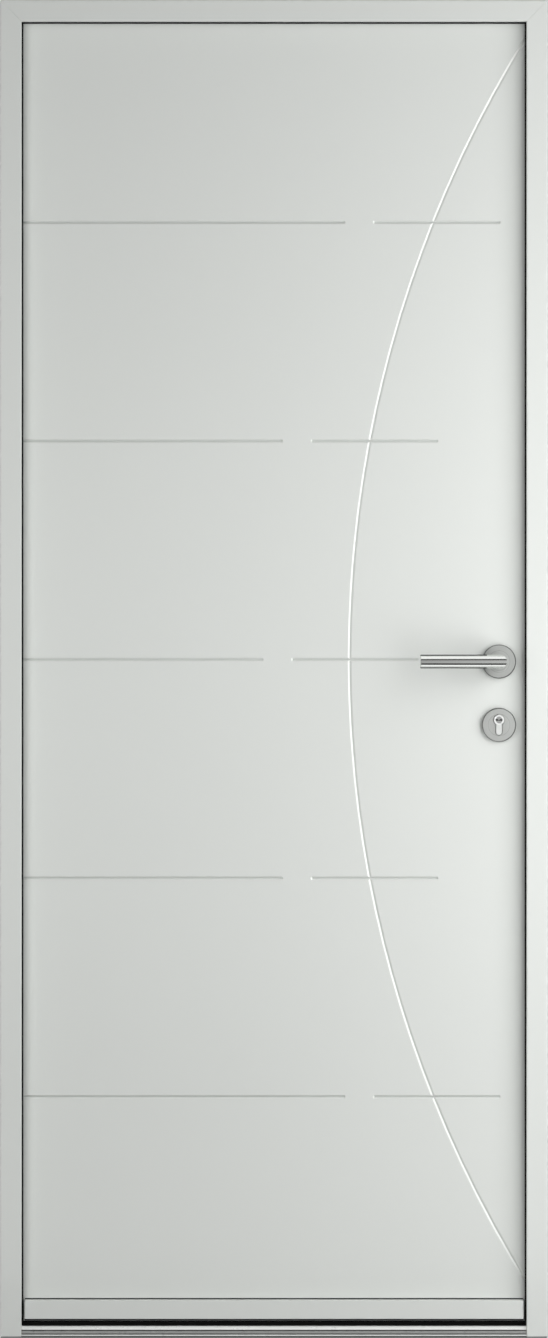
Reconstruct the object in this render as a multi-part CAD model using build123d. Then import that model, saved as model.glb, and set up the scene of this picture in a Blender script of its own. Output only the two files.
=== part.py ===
from build123d import *
import math
import os

# An aluminium entry door in its frame. Outside is towards -Y and the room towards +Y; X runs across
# the doorway, with the hinges at -X, and Z is up. The origin is on the floor, at the middle of the
# frame's foot and at half its depth. The leaf opens into the room. All sizes are in millimetres.

# Frame extrusions
frame_width = 880.0
frame_height = 2150.0
frame_depth = 70.0
face_width = 34.0  # what shows of jambs and head from outside
leg_depth = 17.0  # outer leg that covers the leaf's edge
rebate_wall = 18.0  # the frame beside the leaf's edge
profile_wall = 2.0
overcut = 1.0  # how far a cut runs past the faces it opens
frame_edge_radius = 2.0  # outer corners of the extrusion
leg_edge_radius = 1.5
mitre_line_depth = 0.4
mitre_line_half_width = 0.5
foot_thickness = 2.4  # plastic foot under each jamb
foot_inset = 1.0
outer_shell_depth = 19.0  # outside half of the extrusion, up to the insulating bars
break_width = 14.0  # gap between the two halves, bridged by the insulating bars
break_bar = 2.5
break_inset = 1.0

# Seal on the leg's back face
seal_gap = 5.0  # from the leg to the leaf's outer face
seal_clearance = 0.5
seal_width = 9.1
seal_lip = 2.6  # what shows past the leg's edge
seal_radius = 1.6

# Threshold
threshold_height = 18.5
threshold_chamber_height = 7.0
threshold_room_slope = 10.0
threshold_room_drop = 3.0
threshold_break_drop = 0.5
sill_seal_width = 6.0
sill_seal_inset = 4.0
nosing_depth = 11.0
nosing_drop = 5.6
groove_height = 1.7
groove_depth = 3.0
rib_slope_drop = 3.4
rib_slope_depth = 1.8
ledge_height = 3.6
ledge_step = 1.6
ledge_groove_height = 1.0
ledge_groove_depth = 1.5

# Leaf
leaf_overlap = 6.0  # how far the leg covers the leaf's edge
leaf_floor_gap = 7.5  # above the threshold
skin = 3.5
stile_width = 34.0
rail_height = 34.0
stile_wall = 3.0

# Lines routed into both faces of the leaf
line_width = 6.0
line_depth = 2.6
arc_depth = 1.6
line_pitch = 352.0
line_centre_rise = 2.0  # above the middle of the visible panel
line_gap = 50.0
short_line = 200.0
short_line_starts = [30.4, 61.8, 161.9]  # middle line first, then outwards
arc_radius = 1903.0
arc_nearest = 121.7  # the arc's leftmost point

# Drip rail on the leaf's foot
drip_height = 30.5
drip_bottom = 30.0
drip_setback = 4.0  # its front face behind the frame's
drip_end_gap = 5.0
drip_wall = 2.0
drip_slope = 0.6
drip_edge_radius = 1.0
drip_cap = 2.0
bead_width = 1.8  # rubber bead in the corner over the rail
bead_tip = 0.6
foot_seal_thickness = 4.0
foot_seal_rise = 0.5  # above the leaf's underside
foot_seal_radius = 1.0

# Lock, with its parts withdrawn
backset = 50.0
lever_height = 1087.0
lever_to_key = 94.0
faceplate_width = 20.0
faceplate_thickness = 3.0
faceplate_margin = 60.0
faceplate_end_radius = 9.0
case_thickness = 15.0
case_depth = 75.0
case_above_lever = 45.0
case_below_key = 55.0
bolt_clearance = 0.3
latch_size = (12.0, 22.0)  # across the leaf's thickness, and upright
dead_bolt_size = (11.0, 34.0)
hook_bolt_size = (9.0, 40.0)
hook_bolt_from_end = 320.0  # of the leaf
hook_bolt_length = 26.0
strike_thickness = 2.0
strike_width = 22.0
strike_margin = 22.0
strike_room = 3.0  # around each bolt
strike_corner_radius = 3.0

# Furniture
rose_diameter = 55.0
rose_thickness = 8.0
rose_rim = 1.8
rose_collar_diameter = 29.5
rose_collar = 0.8
rose_bore_clearance = 0.1
lever_diameter = 22.0
lever_length = 127.5
lever_standoff = 56.0  # from the leaf's face to the tube's axis
lever_end_chamfer = 0.8
lever_face_gap = 1.0
spindle_size = 8.0
spindle_clearance = 0.1
spindle_grip = 26.0
spindle_hole_diameter = 20.0
cylinder_diameter = 17.0
cylinder_height = 33.0
cylinder_leg = 10.0
cylinder_proud = 2.0
cylinder_clearance = 0.6
plug_diameter = 12.5
plug_length = 26.0
plug_clearance = 0.05
keyway_width = 11.0
keyway_height = 2.4
keyway_depth = 22.0

# Hinges
hinge_from_end = 225.0  # of the leaf
barrel_diameter = 22.0
barrel_length = 110.0
barrel_gap = 2.0  # between the barrel and the room-side faces
knuckle_gap = 0.5
middle_knuckle = 40.0
hinge_pin_diameter = 12.0
hinge_pin_clearance = 0.05
hinge_cap = 4.0
hinge_cap_chamfer = 1.0
hinge_plate = 4.0
hinge_plate_gap = 1.0  # between a plate's edge and the line of the barrel
hinge_leaf_plate = 42.0
hinge_plate_radius = 4.0
hinge_web_reach = 14.0  # over the leaf's plate
hinge_web_setback = 3.0  # its back face behind the pin's axis

# Holes for the screws that hold the frame in the wall
fixing_diameter = 8.0
fixing_from_end = 165.0
fixings = 4

# Levels and faces that follow from the sizes above
jamb_outer = frame_width / 2
frame_front = -frame_depth / 2
frame_back = frame_depth / 2
leg_back = frame_front + leg_depth
break_front = frame_front + outer_shell_depth
break_back = break_front + break_width
sight_half_width = jamb_outer - face_width
rebate_half_width = jamb_outer - rebate_wall
leaf_half_width = sight_half_width + leaf_overlap
leaf_bottom = threshold_height + leaf_floor_gap
leaf_top = frame_height - face_width + leaf_overlap
leaf_front = leg_back + seal_gap
leaf_back = frame_back
leaf_middle = (leaf_front + leaf_back) / 2
lever_x = leaf_half_width - backset
key_height = lever_height - lever_to_key
key_rose_height = key_height + cylinder_diameter / 2 - cylinder_height / 2
drip_front = frame_front + drip_setback
drip_half_width = sight_half_width - drip_end_gap
hinge_x = -(leaf_half_width + rebate_half_width) / 2
hinge_y = frame_back + barrel_gap + barrel_diameter / 2
line_centre_height = (drip_bottom + drip_height + frame_height - face_width) / 2 + line_centre_rise
bolt_heights = {
    "latch": lever_height,
    "dead": key_height - cylinder_height,
    "upper": leaf_top - hook_bolt_from_end,
    "lower": leaf_bottom + hook_bolt_from_end,
}
bolt_sizes = {
    "latch": latch_size,
    "dead": dead_bolt_size,
    "upper": hook_bolt_size,
    "lower": hook_bolt_size,
}
hinge_heights = {
    "bottom": leaf_bottom + hinge_from_end,
    "middle": (leaf_bottom + leaf_top) / 2,
    "top": leaf_top - hinge_from_end,
}


def block(x, y, z):
    """A box between the pairs of limits x, y and z."""
    size = [abs(b - a) for a, b in (x, y, z)]
    middle = [(a + b) / 2 for a, b in (x, y, z)]
    return Pos(*middle) * Box(*size)


def rod(radius, x, z, y_from, y_to):
    """A round bar along Y."""
    return Pos(x, (y_from + y_to) / 2, z) * Rot(90, 0, 0) * Cylinder(radius, abs(y_to - y_from))


def upright(radius, x, y, z_from, z_to):
    """A round bar along Z."""
    return Pos(x, y, (z_from + z_to) / 2) * Cylinder(radius, z_to - z_from)


def across(points, x_from, x_to):
    """A prism along X over an outline of (y, z) points."""
    outline = Plane.YZ * make_face(Polyline(*points, close=True))
    return Pos(x_from, 0, 0) * extrude(outline, amount=x_to - x_from, dir=(1, 0, 0))


def frame_bar(rectangles):
    """The uncut bar of a frame member over (u_from, u_to, y_from, y_to) rectangles, as an upright jamb
    at -X; u is the distance in from the wall's side."""
    bar = None
    for u_from, u_to, y_from, y_to in rectangles:
        piece = block((u_from - jamb_outer, u_to - jamb_outer), (y_from, y_to), (0, frame_height))
        bar = piece if bar is None else bar + piece
    return bar


def mitre_line(side, face, inwards):
    """Fine V along a top corner's joint in one face of the frame; side is -1 at the hinges and 1 at
    the lock."""
    outline = Polyline(
        (-2 * mitre_line_half_width, -inwards * mitre_line_depth),
        (2 * mitre_line_half_width, -inwards * mitre_line_depth),
        (0, inwards * mitre_line_depth),
        close=True,
    )
    wedge = extrude(make_face(outline), amount=face_width, both=True)
    x = side * (jamb_outer - face_width / 2)
    return Pos(x, face, frame_height - face_width / 2) * Rot(0, side * 45, 0) * wedge


def mitre(bar, reach, foot=foot_thickness):
    """Cuts an upright bar at 45 degrees at the frame's top corner; reach is its inmost u."""
    outline = Polyline(
        (-jamb_outer, foot),
        (reach - jamb_outer, foot),
        (reach - jamb_outer, frame_height - reach),
        (-jamb_outer, frame_height),
        close=True,
    )
    wedge = extrude(Plane.XZ * make_face(outline), amount=frame_depth, both=True)
    return bar & wedge


def hinge_side(bar, reach, foot=foot_thickness):
    return mitre(bar, reach, foot)


def lock_side(bar, reach, foot=foot_thickness):
    return mirror(mitre(bar, reach, foot), about=Plane.YZ)


def head(bar, reach):
    """The same bar laid along the top of the frame, mitred at both ends."""
    at_origin = Pos(jamb_outer, 0, -frame_height / 2) * bar
    laid = Pos(0, 0, frame_height) * Rot(0, 90, 0) * at_origin
    outline = Polyline(
        (-jamb_outer, frame_height),
        (jamb_outer, frame_height),
        (jamb_outer - reach, frame_height - reach),
        (reach - jamb_outer, frame_height - reach),
        close=True,
    )
    wedge = extrude(Plane.XZ * make_face(outline), amount=frame_depth, both=True)
    return laid & wedge


def head_half(bar, reach, face, inwards):
    return head(bar, reach) - mitre_line(-1, face, inwards) - mitre_line(1, face, inwards)


def outer_shell():
    """Outside half of the frame extrusion: a hollow leg and the start of the rebate."""
    bar = frame_bar([
        (0, face_width, frame_front, leg_back),
        (0, rebate_wall, leg_back, break_front),
    ])
    front_edges = bar.edges().filter_by(Axis.Z).group_by(Axis.Y)[0].sort_by(Axis.X)
    bar = fillet(front_edges[:1], frame_edge_radius)
    inner_edges = bar.edges().filter_by(Axis.Z).sort_by(Axis.X).group_by(Axis.X)[-1].sort_by(Axis.Y)
    bar = fillet(inner_edges[:1], leg_edge_radius)
    return bar - frame_bar([
        (profile_wall, face_width - profile_wall, frame_front + profile_wall, leg_back - profile_wall),
    ])


def inner_shell():
    """Room-side half of the frame extrusion, a hollow box."""
    bar = frame_bar([(0, rebate_wall, break_back, frame_back)])
    back_edges = bar.edges().filter_by(Axis.Z).group_by(Axis.Y)[-1]
    bar = fillet(back_edges, frame_edge_radius)
    return bar - frame_bar([
        (profile_wall, rebate_wall - profile_wall, break_back + profile_wall, frame_back - profile_wall),
    ])


def insulating_bars():
    """The two bars that join the halves and keep the cold out."""
    wall_side = frame_bar([(break_inset, break_inset + break_bar, break_front, break_back)])
    opening_side = frame_bar([
        (rebate_wall - break_inset - break_bar, rebate_wall - break_inset, break_front, break_back),
    ])
    return wall_side, opening_side


def leg_seal():
    bar = frame_bar([
        (face_width + seal_lip - seal_width, face_width + seal_lip, leg_back, leaf_front - seal_clearance),
    ])
    back_edges = bar.edges().filter_by(Axis.Z).group_by(Axis.Y)[-1]
    return fillet(back_edges, seal_radius)


def frame_seal():
    """The seal round the opening, joined at the mitres."""
    reach = face_width + seal_lip
    sides = hinge_side(leg_seal(), reach, threshold_height) + lock_side(leg_seal(), reach, threshold_height)
    return sides + head(leg_seal(), reach)


def fixing_holes(side):
    """Through-holes along X in a jamb's room-side half; side is -1 at the hinges and 1 at the lock."""
    pitch = (frame_height - 2 * fixing_from_end) / (fixings - 1)
    heights = [fixing_from_end + i * pitch for i in range(fixings)]
    x = side * (jamb_outer + rebate_half_width) / 2
    return [
        Pos(x, leaf_middle, z) * Rot(0, 90, 0) * Cylinder(fixing_diameter / 2, 2 * rebate_wall)
        for z in heights
    ]


def bolt_openings(room, x_from, x_to):
    """Boxes round the four bolts, grown by room on every side."""
    openings = {}
    for name, z in bolt_heights.items():
        half_y, half_z = (size / 2 + room for size in bolt_sizes[name])
        openings[name] = block(
            (x_from, x_to),
            (leaf_middle - half_y, leaf_middle + half_y),
            (z - half_z, z + half_z),
        )
    return openings


def lock_jamb_inner():
    jamb = lock_side(inner_shell(), rebate_wall)
    for hole in fixing_holes(1):
        jamb -= hole
    pockets = bolt_openings(strike_room, rebate_half_width - overcut, jamb_outer - profile_wall)
    for pocket in pockets.values():
        jamb -= pocket
    return jamb - mitre_line(1, frame_back, -1)


def hinge_jamb_inner():
    jamb = hinge_side(inner_shell(), rebate_wall)
    for hole in fixing_holes(-1):
        jamb -= hole
    return jamb - mitre_line(-1, frame_back, -1)


def strike_plate(names):
    """A plate on the lock jamb's rebate, with an opening for each named bolt."""
    low = min(bolt_heights[name] - bolt_sizes[name][1] / 2 for name in names) - strike_margin
    high = max(bolt_heights[name] + bolt_sizes[name][1] / 2 for name in names) + strike_margin
    plate = block(
        (rebate_half_width - strike_thickness, rebate_half_width),
        (leaf_middle - strike_width / 2, leaf_middle + strike_width / 2),
        (low, high),
    )
    plate = fillet(plate.edges().filter_by(Axis.X), strike_corner_radius)
    openings = bolt_openings(
        strike_room, rebate_half_width - strike_thickness - overcut, rebate_half_width + overcut
    )
    for name in names:
        plate -= openings[name]
    return plate


def threshold_outer():
    """Ribbed nosing between the jambs' legs."""
    front = frame_front
    groove_top = threshold_height - nosing_drop
    groove_foot = groove_top - groove_height
    nose = break_front - nosing_depth
    rib_front = front + ledge_step
    ledge_top = ledge_height + ledge_step
    outline = [
        (break_front, 0),
        (front, 0),
        (front, ledge_height),
        (rib_front, ledge_top),
        (rib_front + ledge_groove_depth, ledge_top),
        (rib_front + ledge_groove_depth, ledge_top + ledge_groove_height),
        (rib_front, ledge_top + ledge_groove_height),
        (rib_front, groove_foot - rib_slope_drop),
        (rib_front + rib_slope_depth, groove_foot),
        (rib_front + rib_slope_depth + groove_depth, groove_foot),
        (rib_front + rib_slope_depth + groove_depth, groove_top),
        (rib_front + rib_slope_depth, groove_top),
        (nose, threshold_height),
        (break_front, threshold_height),
    ]
    nosing = across(outline, -sight_half_width, sight_half_width)
    chamber = block(
        (-sight_half_width, sight_half_width),
        (rib_front + rib_slope_depth + profile_wall, break_front - profile_wall),
        (profile_wall, profile_wall + threshold_chamber_height),
    )
    return nosing - chamber


def threshold_break():
    return block(
        (-rebate_half_width, rebate_half_width),
        (break_front, break_back),
        (0, threshold_height - threshold_break_drop),
    )


def threshold_inner():
    """Room-side half, sloped down to the floor finish."""
    outline = [
        (break_back, 0),
        (frame_back, 0),
        (frame_back, threshold_height - threshold_room_drop),
        (frame_back - threshold_room_slope, threshold_height),
        (break_back, threshold_height),
    ]
    sill = across(outline, -rebate_half_width, rebate_half_width)
    chamber = block(
        (-rebate_half_width, rebate_half_width),
        (break_back + profile_wall, frame_back - profile_wall),
        (profile_wall, threshold_height - threshold_room_drop - profile_wall),
    )
    return sill - chamber


def sill_seal():
    """Rubber strip under the closed leaf."""
    y_from = break_front + sill_seal_inset
    bar = block(
        (-leaf_half_width, leaf_half_width),
        (y_from, y_from + sill_seal_width),
        (threshold_height - threshold_break_drop, leaf_bottom - seal_clearance),
    )
    return fillet(bar.edges().filter_by(Axis.X).group_by(Axis.Z)[-1], seal_radius)


def line_mouth(depth):
    """Half the width of a line's cut where it starts, outside the face."""
    return line_width / 2 * (1 + overcut / depth)


def line_profile(across_from, face, inwards, depth):
    """V outline of a routed line in (across, y), starting a little outside the face."""
    return [
        (across_from - line_mouth(depth), face - inwards * overcut),
        (across_from + line_mouth(depth), face - inwards * overcut),
        (across_from, face + inwards * depth),
    ]


def straight_cut(x_from, x_to, z, face, inwards):
    """A V-line along X with cone ends, as a pointed cutter leaves it."""
    points = [(y, z + a) for a, y in line_profile(0, face, inwards, line_depth)]
    cut = across(points, x_from, x_to)
    tip = Cone(line_mouth(line_depth), 0, overcut + line_depth)
    turn = Rot(-90, 0, 0) if inwards > 0 else Rot(90, 0, 0)
    middle = face + inwards * (line_depth - overcut) / 2
    for x in (x_from, x_to):
        cut += Pos(x, middle, z) * turn * tip
    return cut


def arc_cut(face, inwards):
    """The V-line that curves from the lock edge's top to its foot."""
    centre_x = arc_nearest + arc_radius
    half_angle = math.degrees(math.acos((centre_x - leaf_half_width) / arc_radius)) + 1
    outline = make_face(Polyline(*line_profile(arc_nearest, face, inwards, arc_depth), close=True))
    axis = Axis((centre_x, 0, 0), (0, 1, 0))
    swept = revolve(outline, axis, revolution_arc=2 * half_angle)
    start_turn = Pos(centre_x, 0, line_centre_height) * Rot(0, -half_angle, 0) * Pos(-centre_x, 0, 0)
    return start_turn * swept


def routed_skin(face, inwards):
    """A face sheet of the leaf with its five broken lines and the arc."""
    sheet = block(
        (-leaf_half_width, leaf_half_width),
        (face, face + inwards * skin),
        (leaf_bottom, leaf_top),
    )
    for step in range(-2, 3):
        z = line_centre_height + step * line_pitch
        start = short_line_starts[abs(step)]
        sheet -= straight_cut(-leaf_half_width - line_width, start - line_gap, z, face, inwards)
        sheet -= straight_cut(start, start + short_line, z, face, inwards)
    sheet -= arc_cut(face, inwards)
    hole_ends = sorted((face - inwards * overcut, face + inwards * (skin + overcut)))
    sheet -= rod(spindle_hole_diameter / 2, lever_x, lever_height, *hole_ends)
    return sheet - cylinder_bar(cylinder_clearance, *hole_ends)


def cylinder_bar(room, y_from, y_to):
    """A bar along Y with the outline of a profile cylinder, grown by room."""
    foot = key_height + cylinder_diameter / 2 - cylinder_height + cylinder_leg / 2
    bar = rod(cylinder_diameter / 2 + room, lever_x, key_height, y_from, y_to)
    bar += rod(cylinder_leg / 2 + room, lever_x, foot, y_from, y_to)
    bar += block(
        (lever_x - cylinder_leg / 2 - room, lever_x + cylinder_leg / 2 + room),
        (y_from, y_to),
        (foot, key_height),
    )
    return bar


def case_limits():
    """Limits of the lock case in the leaf's edge."""
    return (
        (leaf_half_width - faceplate_thickness - case_depth, leaf_half_width - faceplate_thickness),
        (leaf_middle - case_thickness / 2, leaf_middle + case_thickness / 2),
        (key_height - case_below_key, lever_height + case_above_lever),
    )


def stile(side):
    """Hollow upright edging of the leaf; side is -1 at the hinges and 1 at the lock."""
    edge = side * leaf_half_width
    inside = side * (leaf_half_width - stile_width)
    bar = block((inside, edge), (leaf_front + skin, leaf_back - skin), (leaf_bottom, leaf_top))
    chamber = block(
        (inside + side * stile_wall, edge - side * (faceplate_thickness + stile_wall)),
        (leaf_front + skin + stile_wall, leaf_back - skin - stile_wall),
        (leaf_bottom, leaf_top),
    )
    return bar - chamber


def faceplate_limits():
    return (
        (leaf_half_width - faceplate_thickness, leaf_half_width),
        (leaf_middle - faceplate_width / 2, leaf_middle + faceplate_width / 2),
        (leaf_bottom + faceplate_margin, leaf_top - faceplate_margin),
    )


def lock_stile():
    bar = stile(1)
    x, y, z = faceplate_limits()
    bar -= block((x[0], x[1] + overcut), y, z)
    x, y, z = case_limits()
    bar -= block((x[0] - overcut, x[1] + overcut), y, z)
    bolts = bolt_openings(bolt_clearance, leaf_half_width - stile_width - overcut, leaf_half_width)
    for name in ("upper", "lower"):
        bar -= bolts[name]
    return bar


def rail(z_from, z_to):
    half = leaf_half_width - stile_width
    bar = block((-half, half), (leaf_front + skin, leaf_back - skin), (z_from, z_to))
    chamber = block(
        (-half, half),
        (leaf_front + skin + stile_wall, leaf_back - skin - stile_wall),
        (z_from + stile_wall, z_to - stile_wall),
    )
    return bar - chamber


def lock_faceplate():
    plate = block(*faceplate_limits())
    plate = fillet(plate.edges().filter_by(Axis.X), faceplate_end_radius)
    openings = bolt_openings(
        bolt_clearance, leaf_half_width - faceplate_thickness - overcut, leaf_half_width + overcut
    )
    for opening in openings.values():
        plate -= opening
    return plate


def lock_case():
    case = block(*case_limits())
    case -= rod(spindle_hole_diameter / 2, lever_x, lever_height, leaf_front, leaf_back)
    case -= cylinder_bar(cylinder_clearance, leaf_front, leaf_back)
    return case


def bolt(name, length):
    """A bolt of the lock, its nose level with the faceplate."""
    openings = bolt_openings(0, leaf_half_width - length, leaf_half_width)
    return openings[name]


def drip_bar(x_from, x_to):
    """A solid length of the drip rail's outline."""
    top = drip_bottom + drip_height
    points = [
        (leaf_front, drip_bottom),
        (drip_front, drip_bottom),
        (drip_front, top - drip_slope),
        (leaf_front, top),
    ]
    bar = across(points, x_from, x_to)
    front_edges = bar.edges().filter_by(Axis.X).group_by(Axis.Y)[0]
    return fillet(front_edges, drip_edge_radius)


def drip_rail():
    """Hollow rail open below, screwed to the leaf's foot, that throws the rain clear."""
    half = drip_half_width - drip_cap
    hollow = block(
        (-half, half),
        (drip_front + drip_wall, leaf_front - drip_wall),
        (drip_bottom - overcut, drip_bottom + drip_height - drip_slope - drip_wall),
    )
    return drip_bar(-half, half) - hollow


def drip_end_cap(side):
    return drip_bar(*sorted((side * (drip_half_width - drip_cap), side * drip_half_width)))


def drip_rail_bead():
    """Rubber bead that keeps the rain out behind the drip rail."""
    top = drip_bottom + drip_height
    fall = drip_slope * bead_width / (leaf_front - drip_front)
    outline = [
        (leaf_front, top),
        (leaf_front - bead_width, top - fall),
        (leaf_front - bead_width, top + bead_tip),
        (leaf_front - bead_tip, top + bead_width),
        (leaf_front, top + bead_width),
    ]
    return across(outline, -drip_half_width, drip_half_width)


def foot_seal():
    """Rubber strip under the drip rail, clear of the sill seal as the leaf swings."""
    bar = block(
        (-drip_half_width, drip_half_width),
        (leaf_front - foot_seal_thickness, leaf_front),
        (leaf_bottom + foot_seal_rise, drip_bottom),
    )
    return fillet(bar.edges().filter_by(Axis.X).group_by(Axis.Z)[0], foot_seal_radius)


def turned(points, x, z, face, outwards):
    """A part turned about a Y axis from (radius, height above the face) points."""
    outline = [(x + r, face + outwards * h) for r, h in points]
    profile = Pos(0, 0, z) * make_face(Polyline(*outline, close=True))
    return revolve(profile, Axis((x, 0, z), (0, 1, 0)))


def rose_outline():
    """From the rose's foot out over the rim."""
    return [
        (rose_diameter / 2, 0),
        (rose_diameter / 2, rose_thickness - rose_rim),
        (rose_diameter / 2 - rose_rim, rose_thickness),
    ]


def lever_rose(face, outwards):
    bore = lever_diameter / 2 + rose_bore_clearance
    points = [(bore, 0), *rose_outline()]
    points += [
        (rose_collar_diameter / 2, rose_thickness),
        (rose_collar_diameter / 2 - rose_collar, rose_thickness + rose_collar),
        (bore, rose_thickness + rose_collar),
    ]
    return turned(points, lever_x, lever_height, face, outwards)


def key_rose(face, outwards):
    points = [(0, 0), *rose_outline(), (0, rose_thickness)]
    rose = turned(points, lever_x, key_rose_height, face, outwards)
    ends = sorted((face - outwards * overcut, face + outwards * (rose_thickness + overcut)))
    return rose - cylinder_bar(cylinder_clearance, *ends)


def lever(face, outwards):
    """Round bar with a mitred corner and a square socket for the spindle."""
    radius = lever_diameter / 2
    start = face + outwards * lever_face_gap
    axis_y = face + outwards * lever_standoff
    outer_y = axis_y + outwards * radius
    grip = Pos(lever_x + radius, axis_y, lever_height) * Rot(0, -90, 0) * Cylinder(
        radius, lever_length + radius, align=(Align.CENTER, Align.CENTER, Align.MIN)
    )
    grip = chamfer(grip.edges().sort_by(Axis.X)[0], lever_end_chamfer)
    neck = rod(radius, lever_x, lever_height, min(start, outer_y), max(start, outer_y))
    corner = [
        (lever_x + radius, outer_y),
        (lever_x - radius, outer_y - outwards * lever_diameter),
        (lever_x - radius, start),
        (lever_x + radius, start),
    ]
    neck_side = Pos(0, 0, lever_height - radius) * extrude(
        make_face(Polyline(*corner, close=True)), amount=lever_diameter, dir=(0, 0, 1)
    )
    bar = (grip - neck_side) + (neck & neck_side)
    side = spindle_size / 2 + spindle_clearance
    socket = block(
        (lever_x - side, lever_x + side),
        sorted((face, start + outwards * spindle_grip)),
        (lever_height - side, lever_height + side),
    )
    return bar - socket


def spindle():
    reach = lever_face_gap + spindle_grip
    side = spindle_size / 2
    return block(
        (lever_x - side, lever_x + side),
        (leaf_front - reach, leaf_back + reach),
        (lever_height - side, lever_height + side),
    )


def key_cylinder():
    """Profile cylinder through the leaf, bored for a plug at each end."""
    front = leaf_front - rose_thickness - cylinder_proud
    back = leaf_back + rose_thickness + cylinder_proud
    body = cylinder_bar(0, front, back)
    bore = plug_diameter / 2 + plug_clearance
    bore_depth = plug_length + plug_clearance
    body -= rod(bore, lever_x, key_height, front - overcut, front + bore_depth)
    return body - rod(bore, lever_x, key_height, back - bore_depth, back + overcut)


def key_plug(face, outwards):
    mouth = face + outwards * (rose_thickness + cylinder_proud)
    plug = rod(plug_diameter / 2, lever_x, key_height, mouth - outwards * plug_length, mouth)
    keyway = block(
        (lever_x - keyway_width / 2, lever_x + keyway_width / 2),
        sorted((mouth + outwards * overcut, mouth - outwards * keyway_depth)),
        (key_height - keyway_height / 2, key_height + keyway_height / 2),
    )
    return plug - keyway


def hinge_plate_bar(x, z):
    """A hinge's flat plate, against the room-side faces."""
    return block(x, (frame_back, frame_back + hinge_plate), z)


def knuckle(x_far, z_from, z_to):
    """A length of the barrel with the web that joins it to a plate as far as x_far."""
    barrel = upright(barrel_diameter / 2, hinge_x, hinge_y, z_from, z_to)
    web = block(
        sorted((x_far, hinge_x)),
        (frame_back + barrel_gap / 2, hinge_y - hinge_web_setback),
        (z_from, z_to),
    )
    return barrel + web


def pin_bore(height):
    bore = hinge_pin_diameter / 2 + hinge_pin_clearance
    return upright(bore, hinge_x, hinge_y, height - barrel_length, height + barrel_length)


def hinge_frame_half(height):
    """Plate on the hinge jamb with an upper and a lower knuckle."""
    low, high = height - barrel_length / 2, height + barrel_length / 2
    knuckle_end = middle_knuckle / 2 + knuckle_gap
    plate_left = frame_edge_radius - jamb_outer
    plate_right = hinge_x - barrel_diameter / 2 - hinge_plate_gap
    plate = hinge_plate_bar((plate_left, plate_right), (low, high))
    plate = fillet(plate.edges().filter_by(Axis.Y).group_by(Axis.X)[0], hinge_plate_radius)
    web_left = plate_left + hinge_plate_radius
    plate += knuckle(web_left, low, height - knuckle_end)
    plate += knuckle(web_left, height + knuckle_end, high)
    return plate - pin_bore(height)


def hinge_leaf_half(height):
    """Plate on the leaf's room side with the middle knuckle."""
    low, high = height - barrel_length / 2, height + barrel_length / 2
    plate_left = hinge_x + barrel_diameter / 2 + hinge_plate_gap
    plate = hinge_plate_bar((plate_left, plate_left + hinge_leaf_plate), (low, high))
    plate = fillet(plate.edges().filter_by(Axis.Y).group_by(Axis.X)[-1], hinge_plate_radius)
    plate += knuckle(
        plate_left + hinge_web_reach, height - middle_knuckle / 2, height + middle_knuckle / 2
    )
    return plate - pin_bore(height)


def hinge_pin(height):
    """The pin, held by a cap at each end of the barrel."""
    low, high = height - barrel_length / 2, height + barrel_length / 2
    pin = upright(hinge_pin_diameter / 2, hinge_x, hinge_y, low, high)
    for end, outward in ((low, -1), (high, 1)):
        cap = upright(barrel_diameter / 2, hinge_x, hinge_y, *sorted((end, end + outward * hinge_cap)))
        rims = cap.edges().filter_by(GeomType.CIRCLE).sort_by(Axis.Z)
        pin += chamfer(rims[-1] if outward > 0 else rims[0], hinge_cap_chamfer)
    return pin


def foot(side):
    """Plastic foot under a jamb, over the depth of both its halves."""
    x_from = side * (jamb_outer - foot_inset)
    outline = [
        (x_from, frame_front + foot_inset),
        (side * sight_half_width, frame_front + foot_inset),
        (side * sight_half_width, leg_back),
        (side * rebate_half_width, leg_back),
        (side * rebate_half_width, frame_back - foot_inset),
        (x_from, frame_back - foot_inset),
    ]
    return extrude(make_face(Polyline(*outline, close=True)), amount=foot_thickness, dir=(0, 0, 1))


def frame_parts():
    wall_bar, opening_bar = insulating_bars()
    hook_strikes = [strike_plate(("upper",)), strike_plate(("lower",))]
    parts = {
        "hinge_jamb_outer": hinge_side(outer_shell(), face_width) - mitre_line(-1, frame_front, 1),
        "hinge_jamb_break": Compound([hinge_side(b, rebate_wall) for b in (wall_bar, opening_bar)]),
        "hinge_jamb_inner": hinge_jamb_inner(),
        "lock_jamb_outer": lock_side(outer_shell(), face_width) - mitre_line(1, frame_front, 1),
        "lock_jamb_break": Compound([lock_side(b, rebate_wall) for b in (wall_bar, opening_bar)]),
        "lock_jamb_inner": lock_jamb_inner(),
        "head_outer": head_half(outer_shell(), face_width, frame_front, 1),
        "head_break": Compound([head(b, rebate_wall) for b in (wall_bar, opening_bar)]),
        "head_inner": head_half(inner_shell(), rebate_wall, frame_back, -1),
        "frame_seal": frame_seal(),
        "threshold_outer": threshold_outer(),
        "threshold_break": threshold_break(),
        "threshold_inner": threshold_inner(),
        "threshold_seal": sill_seal(),
        "jamb_feet": Compound([foot(-1), foot(1)]),
        "strike_plates": Compound([strike_plate(("latch", "dead")), *hook_strikes]),
        "hinge_pins": Compound([hinge_pin(height) for height in hinge_heights.values()]),
    }
    for name, height in hinge_heights.items():
        parts[f"{name}_hinge_frame_half"] = hinge_frame_half(height)
    return parts


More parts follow.
